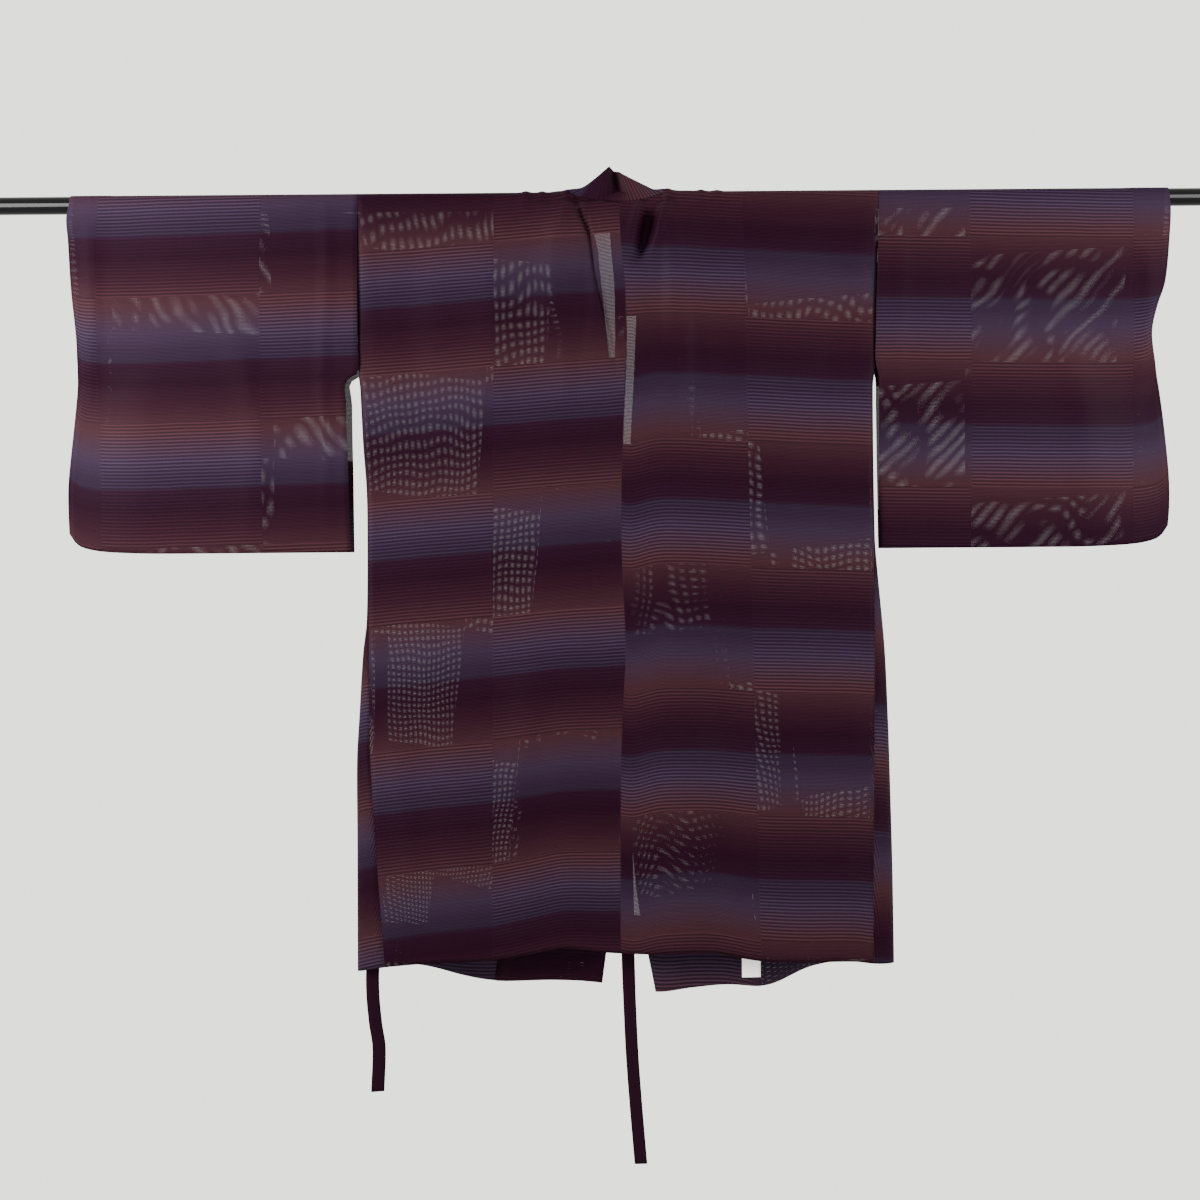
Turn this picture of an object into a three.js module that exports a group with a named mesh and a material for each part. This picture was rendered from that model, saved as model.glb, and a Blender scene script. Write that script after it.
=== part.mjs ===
// An unlined gauze dochugi coat hanging on a round rod that runs through both sleeves.
// The rod lies along X, the back of the coat faces -Y and its fronts face +Y.
// The origin is the middle of the rod, on its axis. Sizes are millimetres.
import * as THREE from 'three';

const ROD_RADIUS = 11;
const ROD_LENGTH = 1700;
const ROD_SIDES = 48;
const WALL = 1.2;
const SEAM = 0.3;
const HALF_SEAM = SEAM / 2;
const NECK_HALF_SEAM = 0.4; // measured along X, because the seam slopes there
const ROD_CLEAR = 0.45; // leaves room for the flats between the rows that go over the rod
const DRAPE = ROD_RADIUS + ROD_CLEAR + WALL / 2; // from the axis to the middle of the cloth
const QUARTER = DRAPE * Math.PI / 2; // cloth from the top of the rod to its side
const OVER_STEPS = 8; // rows over the rod in a sleeve
const BODY_COLUMNS = 11;
const OVERLAP_COLUMNS = 5;
const ARMHOLE = 213; // sleeve sewn to the body this far below the rod
const COLLAR_WIDTH = 55;
const COLLAR_END = 421;
const COLLAR_COLUMNS = 7;
const COLLAR_END_GAP = 1.5; // between the collar's square end and the overlap under it
const COLLAR_LIFT = 0.6; // how much clearer of the rod the middle of the collar lies
const COLLAR_STRAIGHT = 110; // below this the collar is as wide as it was cut
const LEVEL_LENGTH = 952; // the lowest level, which is bent to each hem
const GUSSET_FLAT = 14; // a gusset this wide leaves its seam in the plane of the panel
const GUSSET_NARROW = 2; // one as narrow as this leaves it beside the panel
const CUFF_SEWN_FROM = 0.72; // share of a sleeve's width where its layers begin to meet
const SLEEVE_DROP = 437;
const TIE_WIDTH = 16;
const TIE_THICKNESS = 2;
const TIE_STEP = 30;
const TIE_COLUMNS = 2;
const LABEL_COLUMNS = 3;

// How far below the rod each row of the body lies. All the pieces of the body share these.
const BODY_LEVELS = [
  0, 9, 20, 36, 55, 80, 110, 150, 213, 280, 350, 421, 480, 540, 600, 650, 700, 760, 820, 880,
  920, 952,
];

// The body's side edges: back and front panels end at seam, and the gusset folds at fold.
const LEFT_SIDE = [
  { below: 0, seam: -324.5, fold: -326 },
  { below: 213, seam: -323.5, fold: -326 },
  { below: 300, seam: -320, fold: -322.5 },
  { below: 360, seam: -316, fold: -318.5 },
  { below: 421, seam: -315.5, fold: -318 },
  { below: 521, seam: -316, fold: -320 },
  { below: 561, seam: -316, fold: -325 },
  { below: 645, seam: -315.5, fold: -331 },
  { below: 693, seam: -315, fold: -334 },
  { below: 790, seam: -310, fold: -334.5 },
  { below: 870, seam: -304.5, fold: -335 },
  { below: 952, seam: -298.5, fold: -335.5 },
];
const RIGHT_SIDE = [
  { below: 0, seam: 321, fold: 322 },
  { below: 213, seam: 312, fold: 314.5 },
  { below: 421, seam: 313, fold: 316 },
  { below: 470, seam: 313, fold: 320 },
  { below: 561, seam: 313, fold: 328 },
  { below: 645, seam: 312, fold: 331.5 },
  { below: 741, seam: 310.5, fold: 334 },
  { below: 837, seam: 309, fold: 336 },
  { below: 952, seam: 308, fold: 337 },
];

// The centre back seam leans a little as it falls.
const CENTRE_SEAM = [
  { below: 0, x: 0 },
  { below: 55, x: 2.5 },
  { below: 110, x: 7 },
  { below: 185, x: 7.5 },
  { below: 300, x: 2.5 },
  { below: 421, x: 0 },
  { below: 561, x: 4 },
  { below: 645, x: 0 },
  { below: 741, x: -3 },
  { below: 952, x: -5 },
];

// The free edges of the fronts, with the collar above its end and the overlap below it,
// and the seams that join the fronts to the collar and, lower down, to the overlaps.
const LEFT_FRONT = [
  { below: 0, free: -50, seam: -111 },
  { below: 20, free: -38, seam: -100 },
  { below: 55, free: -28, seam: -91.5 },
  { below: 80, free: -25.5, seam: -87.5 },
  { below: 110, free: -22.4, seam: -87.5 },
  { below: 150, free: -18.5, seam: -90 },
  { below: 213, free: -12, seam: -94 },
  { below: 300, free: -3, seam: -97.5 },
  { below: 421, free: 3, seam: -105 },
  { below: 521, free: 1.5, seam: -117 },
  { below: 693, free: -5, seam: -134 },
  { below: 837, free: -13, seam: -149 },
  { below: 952, free: -29, seam: -164 },
];
const RIGHT_FRONT = [
  { below: 0, free: 38, seam: 111 },
  { below: 20, free: 31, seam: 95 },
  { below: 55, free: 25, seam: 82 },
  { below: 80, free: 24, seam: 80.5 },
  { below: 110, free: 22, seam: 83 },
  { below: 150, free: 20, seam: 86 },
  { below: 213, free: 17, seam: 92 },
  { below: 300, free: 12, seam: 101 },
  { below: 421, free: 8.5, seam: 115 },
  { below: 521, free: 7, seam: 127 },
  { below: 693, free: 7, seam: 146 },
  { below: 837, free: 11, seam: 161 },
  { below: 952, free: 38, seam: 173 },
];

// The hems, by how far along X: the back hangs shorter than the fronts.
const BACK_HEM = [
  { x: -337, down: 959 },
  { x: -298, down: 952 },
  { x: -225, down: 946 },
  { x: -165, down: 944 },
  { x: -119, down: 937 },
  { x: -75, down: 930 },
  { x: -23, down: 936 },
  { x: 30, down: 938 },
  { x: 102, down: 937 },
  { x: 171, down: 948 },
  { x: 285, down: 949 },
  { x: 308, down: 952 },
  { x: 337, down: 953 },
];
const FRONT_HEM = [
  { x: -337, down: 958 },
  { x: -298, down: 954 },
  { x: -258, down: 960 },
  { x: -211, down: 971 },
  { x: -165, down: 976 },
  { x: -94, down: 976 },
  { x: -29, down: 979 },
  { x: 39, down: 991 },
  { x: 81, down: 988 },
  { x: 129, down: 983 },
  { x: 181, down: 985 },
  { x: 238, down: 966 },
  { x: 308, down: 953 },
  { x: 337, down: 953 },
];

// Soft upright folds: out is how far each stands from the flat drape at the hem.
const BACK_FOLDS = [
  { x: -205, width: 70, out: 8, starts: 380 },
  { x: -78, width: 55, out: 5, starts: 120 },
  { x: 68, width: 50, out: 9, starts: 60 },
  { x: 235, width: 75, out: 7, starts: 480 },
];
const FRONT_FOLDS = [
  { x: -240, width: 60, out: 26, starts: 260 },
  { x: -85, width: 45, out: 7, starts: 300 },
  { x: 90, width: 45, out: 9, starts: 300 },
  { x: 245, width: 60, out: 28, starts: 260 },
];

// The neck, from the level of the axis in front, over the rod, to the middle of the back.
// along runs on the drape from the top of the rod, with the back positive. seamLeft and
// seamRight place the collar seam, and left and right the collar's free edge.
const NECK = [
  { along: -18.9, seamLeft: 111, seamRight: 111, left: -50, right: 38, y: 12.1, leftUp: 0, rightUp: 0 },
  { along: -12.5, seamLeft: 106, seamRight: 104, left: -55, right: 42, y: 7.5, leftUp: 9.3, rightUp: 9.3 },
  { along: -6, seamLeft: 97, seamRight: 93, left: -59, right: 44.5, y: 3.5, leftUp: 11.5, rightUp: 11.5 },
  { along: 0, seamLeft: 86, seamRight: 78, left: -60, right: 46, y: 0, leftUp: 12.2, rightUp: 12.2 },
  { along: 3, seamLeft: 81, seamRight: 71, left: -56, right: 44, y: -2, leftUp: 12.6, rightUp: 12.4 },
  { along: 8, seamLeft: 70, seamRight: 58, left: -50, right: 41, y: -4, leftUp: 14.5, rightUp: 13.5 },
  { along: 13, seamLeft: 57, seamRight: 47, left: -42, right: 34, y: -7, leftUp: 18, rightUp: 17 },
  { along: 16.5, seamLeft: 44, seamRight: 36, left: -30, right: 22, y: -9, leftUp: 26.5, rightUp: 22.5 },
  { along: 19, seamLeft: 30, seamRight: 25, left: -20, right: 12, y: -10, leftUp: 35, rightUp: 27.5 },
  { along: 20.7, seamLeft: 14, seamRight: 12, left: -12.5, right: 0, y: -9, leftUp: 41.5, rightUp: 34.5 },
];
const NECK_COLUMNS = ['seamLeft', 'seamRight', 'left', 'right', 'y', 'leftUp', 'rightUp'];
const NECK_MIDDLE = { along: 21.5, left: -6.5, y: 1.5, leftUp: 38 };
const NECK_ROWS = [-15.5, -12.5, -9, -6, -3, 0, 3, 5.5, 8, 10.5, 13, 14.8, 16.5, 19, 20.7];

// The sleeves: cuff is the outer edge, inner the edge beside the body, and half is half the
// depth between the sleeve's two layers, where it is open and where its cuff end is sewn.
const SLEEVE_LEVELS = [
  0, 20, 50, 90, 130, 165, 195, 213, 224, 260, 310, 360, 397, 418, 432,
];
const LEFT_SLEEVE = [
  { below: 0, cuff: 684, inner: 326 },
  { below: 20, cuff: 687.5, inner: 326 },
  { below: 50, cuff: 685, inner: 326 },
  { below: 115, cuff: 681, inner: 326.4 },
  { below: 177, cuff: 676, inner: 326.5 },
  { below: 213, cuff: 676, inner: 327 },
  { below: 224, cuff: 677, inner: 341.5 },
  { below: 253, cuff: 679, inner: 341.5 },
  { below: 293, cuff: 683, inner: 341 },
  { below: 340, cuff: 688, inner: 340 },
  { below: 375, cuff: 691, inner: 339.5 },
  { below: 411, cuff: 691, inner: 339 },
  { below: 437, cuff: 690, inner: 338.5 },
];
const RIGHT_SLEEVE = [
  { below: 0, cuff: 684, inner: 322.5 },
  { below: 20, cuff: 685, inner: 322.4 },
  { below: 50, cuff: 683, inner: 321 },
  { below: 115, cuff: 676, inner: 318.5 },
  { below: 147, cuff: 666, inner: 317.5 },
  { below: 177, cuff: 660, inner: 317 },
  { below: 202, cuff: 662, inner: 316.6 },
  { below: 224, cuff: 667, inner: 320.5 },
  { below: 253, cuff: 672, inner: 320.5 },
  { below: 293, cuff: 677, inner: 320.5 },
  { below: 340, cuff: 681.5, inner: 320.5 },
  { below: 375, cuff: 684, inner: 320.5 },
  { below: 411, cuff: 684, inner: 320.5 },
  { below: 437, cuff: 682, inner: 320.5 },
];
const SLEEVE_DEPTH = [
  { below: 0, half: 0, sewn: 0 },
  { below: 115, half: 3, sewn: 5 },
  { below: 202, half: 2, sewn: 0 },
  { below: 240, half: 1, sewn: -10.2 },
  { below: 340, half: -3.4, sewn: -10.3 },
  { below: 411, half: -7.6, sewn: -10.4 },
  { below: 437, half: -9.6, sewn: -10.4 },
];
// Columns across the sleeve, and how far its bottom edge is rounded up towards the cuff.
const SLEEVE_COLUMNS = [
  { across: 0, up: 0 },
  { across: 0.09, up: 0 },
  { across: 0.2, up: 0 },
  { across: 0.32, up: 0 },
  { across: 0.44, up: 0 },
  { across: 0.56, up: 0 },
  { across: 0.68, up: 0 },
  { across: 0.79, up: 1 },
  { across: 0.88, up: 3 },
  { across: 0.94, up: 7 },
  { across: 0.975, up: 13 },
  { across: 1, up: 26 },
];

// The ties: where each is sewn on and how it hangs. off is how far the middle of the tie
// lies from the middle of the front's cloth, away from the rod.
const TIE_CLEAR = 0.75; // leaves room for the flats of the cloth that a tie lies on
const ON_CLOTH = WALL / 2 + TIE_CLEAR + TIE_THICKNESS / 2;
const ON_TIE = ON_CLOTH + SEAM + TIE_THICKNESS;
const TIES = {
  tie_overlap_left: [
    { down: 423, x: 2, off: ON_CLOTH },
    { down: 590, x: 3, off: ON_CLOTH },
    { down: 632, x: 3, off: ON_TIE + SEAM },
    { down: 820, x: 3, off: ON_TIE },
    { down: 940, x: 4, off: ON_TIE },
    { down: 991, x: 5, off: ON_TIE },
  ],
  tie_overlap_right: [
    { down: 638, x: 4, off: ON_CLOTH },
    { down: 800, x: 3, off: ON_CLOTH },
    { down: 940, x: 3.5, off: ON_CLOTH },
    { down: 1008, x: 5.5, off: ON_CLOTH },
    { down: 1070, x: 8, off: ON_CLOTH },
    { down: 1131, x: 12, off: ON_CLOTH },
    { down: 1208, x: 18, off: ON_CLOTH },
  ],
  tie_side_left: [
    { down: 541, x: -303, off: -ON_CLOTH },
    { down: 760, x: -306, off: -6 },
    { down: 957, x: -316, off: -15 },
    { down: 990, x: -316, off: -15 },
    { down: 1026, x: -313, off: -15 },
    { down: 1056, x: -309, off: -15 },
    { down: 1111, x: -311, off: -15 },
  ],
  tie_front_right: [
    { down: 400, x: 205, off: ON_CLOTH },
    { down: 600, x: 206, off: ON_CLOTH },
    { down: 800, x: 208, off: ON_CLOTH },
    { down: 955, x: 209, off: ON_CLOTH },
  ],
};

// The care label, a plain tag sewn into the right overlap seam.
const LABEL = { left: 147, right: 170.5, top: 905, bottom: 974, thickness: 0.8 };

const CLOTH_COLOUR = 0x3a2336;
const CLOTH_ROUGHNESS = 0.85;
const TIE_COLOUR = 0x2a1225;
const LABEL_COLOUR = 0xe9e7e4;
const LABEL_ROUGHNESS = 0.8;
const ROD_COLOUR = 0x0b0b0c;
const ROD_ROUGHNESS = 0.25;

// A smooth value from a table, by one named column of it at a place along another.
function smooth(table, key, column, at) {
  const last = table.length - 1;
  let k = 0;
  while (k < last - 1 && at > table[k + 1][key]) k += 1;
  const slope = (i) => {
    const a = table[Math.max(i - 1, 0)];
    const b = table[Math.min(i + 1, last)];
    return (b[column] - a[column]) / (b[key] - a[key]);
  };
  const from = table[k];
  const to = table[k + 1];
  const span = to[key] - from[key];
  const t = THREE.MathUtils.clamp((at - from[key]) / span, 0, 1);
  const rise = t * t * (3 - 2 * t);
  const ease = t * (1 - t) * span;
  return from[column] + (to[column] - from[column]) * rise
    + ease * ((1 - t) * slope(k) - t * slope(k + 1));
}

const lerp = THREE.MathUtils.lerp;

// A row of the neck table, worked out at any place along it.
function neckAt(along) {
  const at = { along };
  for (const column of NECK_COLUMNS) {
    at[column] = smooth(NECK, 'along', column, along);
  }
  return at;
}

// How far the folds of a table push the cloth away from the rod's plane.
function foldOut(folds, x, below) {
  let out = 0;
  for (const fold of folds) {
    const near = Math.exp(-(((x - fold.x) / fold.width) ** 2));
    const grown = THREE.MathUtils.smoothstep(below, fold.starts, LEVEL_LENGTH);
    out += fold.out * near * grown;
  }
  return out;
}

// How far down a level lies at a place along X: the lower it is, the more it follows the hem.
function downTo(hem, x, below) {
  const share = (below / LEVEL_LENGTH) ** 3;
  return below + (smooth(hem, 'x', 'down', x) - LEVEL_LENGTH) * share;
}

// Points of the drape: on the back or front leg, or over the rod between them.
function backPoint(x, below) {
  const out = foldOut(BACK_FOLDS, x, below);
  return new THREE.Vector3(x, -DRAPE - out, -downTo(BACK_HEM, x, below));
}

function frontPoint(x, below) {
  const out = foldOut(FRONT_FOLDS, x, below);
  return new THREE.Vector3(x, DRAPE + out, -downTo(FRONT_HEM, x, below));
}

function overPoint(x, along) {
  const angle = along / DRAPE;
  return new THREE.Vector3(x, -DRAPE * Math.sin(angle), DRAPE * Math.cos(angle));
}

function drapePoint(x, along) {
  if (along > QUARTER) return backPoint(x, along - QUARTER);
  if (along < -QUARTER) return frontPoint(x, -along - QUARTER);
  return overPoint(x, along);
}

// A closed wall round a grid of points: each point is moved half the wall out and in.
// A looped grid joins its last row to its first.
function wall(rows, thickness, looped = false) {
  const height = rows.length;
  const width = rows[0].length;
  const rowAt = (i) => {
    if (looped) return rows[(i + height) % height];
    return rows[THREE.MathUtils.clamp(i, 0, height - 1)];
  };
  const positions = [];
  for (const side of [0.5, -0.5]) {
    for (let i = 0; i < height; i += 1) {
      for (let j = 0; j < width; j += 1) {
        const alongRow = rows[i][Math.min(j + 1, width - 1)].clone();
        alongRow.sub(rows[i][Math.max(j - 1, 0)]);
        const acrossRows = rowAt(i + 1)[j].clone().sub(rowAt(i - 1)[j]);
        const normal = alongRow.cross(acrossRows).normalize();
        const point = rows[i][j].clone().addScaledVector(normal, side * thickness);
        positions.push(point.x, point.y, point.z);
      }
    }
  }
  const inner = height * width;
  const index = [];
  const quad = (a, b, c, d) => index.push(a, b, c, a, c, d);
  const bands = looped ? height : height - 1;
  for (let i = 0; i < bands; i += 1) {
    const here = i * width;
    const next = ((i + 1) % height) * width;
    for (let j = 0; j < width - 1; j += 1) {
      quad(here + j, here + j + 1, next + j + 1, next + j);
      quad(inner + here + j, inner + next + j, inner + next + j + 1, inner + here + j + 1);
    }
    const end = width - 1;
    quad(here, next, inner + next, inner + here);
    quad(here + end, inner + here + end, inner + next + end, next + end);
  }
  if (!looped) {
    const last = (height - 1) * width;
    for (let j = 0; j < width - 1; j += 1) {
      quad(j, inner + j, inner + j + 1, j + 1);
      quad(last + j, last + j + 1, inner + last + j + 1, inner + last + j);
    }
  }
  const geometry = new THREE.BufferGeometry();
  geometry.setAttribute('position', new THREE.Float32BufferAttribute(positions, 3));
  geometry.setIndex(index);
  return geometry;
}

// A row of points between two places along X, laid on the drape by a function.
function row(from, to, columns, place) {
  const points = [];
  for (let j = 0; j <= columns; j += 1) points.push(place(lerp(from, to, j / columns)));
  return points;
}

const coat = new THREE.Group();

function addPiece(name, geometry, color, roughness, metalness = 0) {
  geometry.computeVertexNormals();
  const material = new THREE.MeshStandardMaterial({ color, roughness, metalness });
  const mesh = new THREE.Mesh(geometry, material);
  mesh.name = name;
  coat.add(mesh);
}

// The same grid faces the other way when its rows are turned round.
function facing(rows, turned) {
  return turned ? rows.map((points) => points.slice().reverse()) : rows;
}

// One length of cloth from the back hem over the rod to the front hem, with the neck cut.
function bodyPanel(side, front, mirror) {
  const rows = [];
  const edge = (below) => smooth(side, 'below', 'seam', below);
  const add = (inner, below, place) => {
    rows.push(row(edge(below), inner, BODY_COLUMNS, place));
  };
  for (const below of BODY_LEVELS.slice(1).reverse()) {
    const seam = smooth(CENTRE_SEAM, 'below', 'x', below) + mirror * HALF_SEAM;
    add(seam, below, (x) => backPoint(x, below));
  }
  add(mirror * HALF_SEAM, 0, (x) => drapePoint(x, NECK_MIDDLE.along));
  for (const along of NECK_ROWS.slice().reverse()) {
    const seam = mirror < 0 ? neckAt(along).seamLeft : neckAt(along).seamRight;
    add(mirror * (seam + NECK_HALF_SEAM), 0, (x) => drapePoint(x, along));
  }
  for (const below of BODY_LEVELS) {
    const seam = smooth(front, 'below', 'seam', below) + mirror * HALF_SEAM;
    add(seam, below, (x) => frontPoint(x, below));
  }
  return wall(facing(rows, mirror < 0), WALL);
}

// The gusset: a long wedge folded outwards between the back and front panels.
function gusset(side, mirror) {
  const rows = [];
  const bend = [
    { out: 0, depth: -1 },
    { out: 0.55, depth: -0.8 },
    { out: 0.93, depth: -0.42 },
    { out: 1, depth: 0 },
    { out: 0.93, depth: 0.42 },
    { out: 0.55, depth: 0.8 },
    { out: 0, depth: 1 },
  ];
  for (const below of BODY_LEVELS.filter((level) => level > ARMHOLE)) {
    const sewn = smooth(side, 'below', 'seam', below);
    const fold = smooth(side, 'below', 'fold', below) - mirror * WALL / 2;
    const narrow = 1 - THREE.MathUtils.smoothstep(Math.abs(fold - sewn), GUSSET_NARROW, GUSSET_FLAT);
    const seam = sewn + mirror * (SEAM + narrow * WALL / 2);
    const back = backPoint(seam, below);
    const front = frontPoint(seam, below);
    rows.push(bend.map(({ out, depth }) => {
      const x = lerp(seam, fold, out);
      const mix = (depth + 1) / 2;
      const lower = downTo(BACK_HEM, x, below) - downTo(BACK_HEM, seam, below);
      return new THREE.Vector3(x, lerp(back.y, front.y, mix), lerp(back.z, front.z, mix) - lower);
    }));
  }
  return wall(facing(rows, mirror < 0), WALL);
}

// The overlap: the strip sewn to the front panel, pointed where it meets the collar.
function overlap(front, mirror) {
  const rows = [];
  const levels = BODY_LEVELS.filter((level) => level >= COLLAR_STRAIGHT);
  const edges = (below) => ({
    seam: smooth(front, 'below', 'seam', below) - mirror * HALF_SEAM,
    free: smooth(front, 'below', 'free', below),
  });
  for (const below of levels) {
    const { seam, free } = edges(below);
    const sewn = free + mirror * (COLLAR_WIDTH + SEAM);
    const place = (x) => frontPoint(x, below);
    if (below <= COLLAR_END) rows.push(row(seam, sewn, OVERLAP_COLUMNS, place));
    if (below === COLLAR_END) {
      const lower = below + COLLAR_END_GAP;
      rows.push(row(seam, free, OVERLAP_COLUMNS, (x) => frontPoint(x, lower)));
    }
    if (below > COLLAR_END) rows.push(row(seam, free, OVERLAP_COLUMNS, place));
  }
  return wall(facing(rows, mirror > 0), WALL);
}

// Keeps a point of the collar clear of the rod that it crosses.
function clearOfRod(point, across) {
  const reach = Math.hypot(point.y, point.z);
  const clear = DRAPE + COLLAR_LIFT * Math.sin(Math.PI * across);
  if (reach < clear) {
    point.y *= clear / reach;
    point.z *= clear / reach;
  }
  return point;
}

// The collar: one band from the left front, round the back of the neck, to the right.
function collar() {
  const rows = [];
  const straight = (seam, free) => {
    const points = [];
    for (let j = 0; j <= COLLAR_COLUMNS; j += 1) {
      const across = j / COLLAR_COLUMNS;
      points.push(clearOfRod(seam.clone().lerp(free, across), across));
    }
    rows.push(points);
  };
  const frontRow = (front, mirror, below) => {
    const level = below === COLLAR_END ? below - SEAM : below;
    const free = smooth(front, 'below', 'free', level);
    const panel = smooth(front, 'below', 'seam', level) - mirror * HALF_SEAM;
    const sewn = below < COLLAR_STRAIGHT ? panel : free + mirror * COLLAR_WIDTH;
    rows.push(row(sewn, free, COLLAR_COLUMNS, (x) => frontPoint(x, level)));
  };
  const neckRow = (along, mirror) => {
    const at = neckAt(along);
    const above = SEAM * THREE.MathUtils.smoothstep(along, 0, DRAPE);
    const sewn = mirror < 0 ? at.seamLeft : at.seamRight;
    const seam = drapePoint(mirror * (sewn - NECK_HALF_SEAM), along - above);
    const free = mirror < 0 ? at.left : at.right;
    straight(seam, new THREE.Vector3(free, at.y, mirror < 0 ? at.leftUp : at.rightUp));
  };
  const levels = BODY_LEVELS.filter((level) => level <= COLLAR_END);
  for (const below of levels.slice().reverse()) frontRow(LEFT_FRONT, -1, below);
  for (const along of NECK_ROWS) neckRow(along, -1);
  const middle = drapePoint(0, NECK_MIDDLE.along - SEAM);
  straight(middle, new THREE.Vector3(NECK_MIDDLE.left, NECK_MIDDLE.y, NECK_MIDDLE.leftUp));
  for (const along of NECK_ROWS.slice().reverse()) neckRow(along, 1);
  for (const below of levels) frontRow(RIGHT_FRONT, 1, below);
  return wall(facing(rows, true), WALL);
}

// A sleeve: one loop of cloth over the rod, open beside the body and at the cuff, where its
// two layers are sewn together below the hand opening.
function sleeve(table, mirror) {
  const half = (below, across) => {
    const open = smooth(SLEEVE_DEPTH, 'below', 'half', below);
    const sewn = smooth(SLEEVE_DEPTH, 'below', 'sewn', below);
    return DRAPE + lerp(open, sewn, THREE.MathUtils.smoothstep(across, CUFF_SEWN_FROM, 1));
  };
  const leg = (below, facingY) => SLEEVE_COLUMNS.map(({ across, up }) => {
    const inner = smooth(table, 'below', 'inner', below);
    const cuff = smooth(table, 'below', 'cuff', below);
    const x = mirror * lerp(inner, cuff, across);
    const down = below * (SLEEVE_DROP - up) / SLEEVE_DROP;
    return new THREE.Vector3(x, facingY * half(below, across), -down);
  });
  const rows = SLEEVE_LEVELS.slice().reverse().map((below) => leg(below, -1));
  for (let k = 1; k < OVER_STEPS; k += 1) {
    const along = QUARTER * (1 - 2 * k / OVER_STEPS);
    rows.push(leg(0, 0).map((point) => overPoint(point.x, along)));
  }
  for (const below of SLEEVE_LEVELS) rows.push(leg(below, 1));
  rows.push(leg(SLEEVE_DROP, 0));
  return wall(facing(rows, mirror > 0), WALL, true);
}

// A flat folded tie along its route. Below the hem it hangs straight down.
function tie(route) {
  const first = route[0].down;
  const last = route[route.length - 1].down;
  const steps = Math.round((last - first) / TIE_STEP);
  const rows = [];
  for (let i = 0; i <= steps; i += 1) {
    const down = lerp(first, last, i / steps);
    const x = smooth(route, 'down', 'x', down);
    const off = smooth(route, 'down', 'off', down);
    rows.push(row(x - TIE_WIDTH / 2, x + TIE_WIDTH / 2, TIE_COLUMNS, (across) => {
      const cloth = frontPoint(across, Math.min(down, LEVEL_LENGTH));
      return new THREE.Vector3(across, cloth.y + off, -down);
    }));
  }
  return wall(facing(rows, true), TIE_THICKNESS);
}

// The label lies just inside the right front, on the side that faces the back.
function label() {
  const rows = [];
  const gap = WALL / 2 + SEAM + LABEL.thickness / 2;
  for (const down of [LABEL.top, (LABEL.top + LABEL.bottom) / 2, LABEL.bottom]) {
    rows.push(row(LABEL.left, LABEL.right, LABEL_COLUMNS, (x) => {
      const below = down * LEVEL_LENGTH / smooth(FRONT_HEM, 'x', 'down', x);
      return new THREE.Vector3(x, frontPoint(x, below).y - gap, -down);
    }));
  }
  return wall(facing(rows, true), LABEL.thickness);
}

const rod = new THREE.CylinderGeometry(ROD_RADIUS, ROD_RADIUS, ROD_LENGTH, ROD_SIDES);
rod.rotateZ(Math.PI / 2);
addPiece('rod', rod, ROD_COLOUR, ROD_ROUGHNESS);

const clothPieces = {
  body_left: bodyPanel(LEFT_SIDE, LEFT_FRONT, -1),
  body_right: bodyPanel(RIGHT_SIDE, RIGHT_FRONT, 1),
  gusset_left: gusset(LEFT_SIDE, -1),
  gusset_right: gusset(RIGHT_SIDE, 1),
  overlap_left: overlap(LEFT_FRONT, -1),
  overlap_right: overlap(RIGHT_FRONT, 1),
  sleeve_left: sleeve(LEFT_SLEEVE, -1),
  sleeve_right: sleeve(RIGHT_SLEEVE, 1),
  collar: collar(),
};
for (const [name, geometry] of Object.entries(clothPieces)) {
  addPiece(name, geometry, CLOTH_COLOUR, CLOTH_ROUGHNESS);
}
for (const [name, route] of Object.entries(TIES)) {
  addPiece(name, tie(route), TIE_COLOUR, CLOTH_ROUGHNESS);
}
addPiece('label', label(), LABEL_COLOUR, LABEL_ROUGHNESS);

export default coat;
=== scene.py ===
"""An unlined gauze dochugi coat hung by its sleeves on a round rod.

The rod lies along X with the middle of its axis at the origin. The back of the coat faces -Y
and its fronts face +Y. The tables are in millimetres, and the meshes are made in metres.
"""
import math

import bpy
from bpy.props import FloatProperty, PointerProperty
from mathutils import Matrix, Vector


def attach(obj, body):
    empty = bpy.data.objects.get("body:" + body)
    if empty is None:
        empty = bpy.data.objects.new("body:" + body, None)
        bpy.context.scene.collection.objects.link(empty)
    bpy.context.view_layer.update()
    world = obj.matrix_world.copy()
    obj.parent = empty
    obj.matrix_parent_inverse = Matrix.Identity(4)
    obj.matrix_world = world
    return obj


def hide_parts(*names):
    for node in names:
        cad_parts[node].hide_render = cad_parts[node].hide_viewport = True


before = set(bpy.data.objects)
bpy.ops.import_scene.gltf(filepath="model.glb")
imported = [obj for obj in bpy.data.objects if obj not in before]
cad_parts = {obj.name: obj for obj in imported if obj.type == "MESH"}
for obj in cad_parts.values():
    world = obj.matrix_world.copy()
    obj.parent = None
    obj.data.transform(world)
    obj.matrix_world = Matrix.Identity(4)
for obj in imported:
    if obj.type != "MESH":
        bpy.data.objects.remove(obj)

bl_info = {
    "name": "Dochugi Coat",
    "version": (1, 0, 0),
    "blender": (4, 5, 0),
    "location": "3D View > Sidebar > Coat",
    "description": "Builds an unlined gauze coat that hangs on a rod",
    "category": "Add Mesh",
}

MM = 0.001


def rows_of(columns, *rows):
    """A table: the names of its columns, and then a row of values for each section or fold."""
    names = columns.split()
    return [dict(zip(names, row)) for row in rows]


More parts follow.
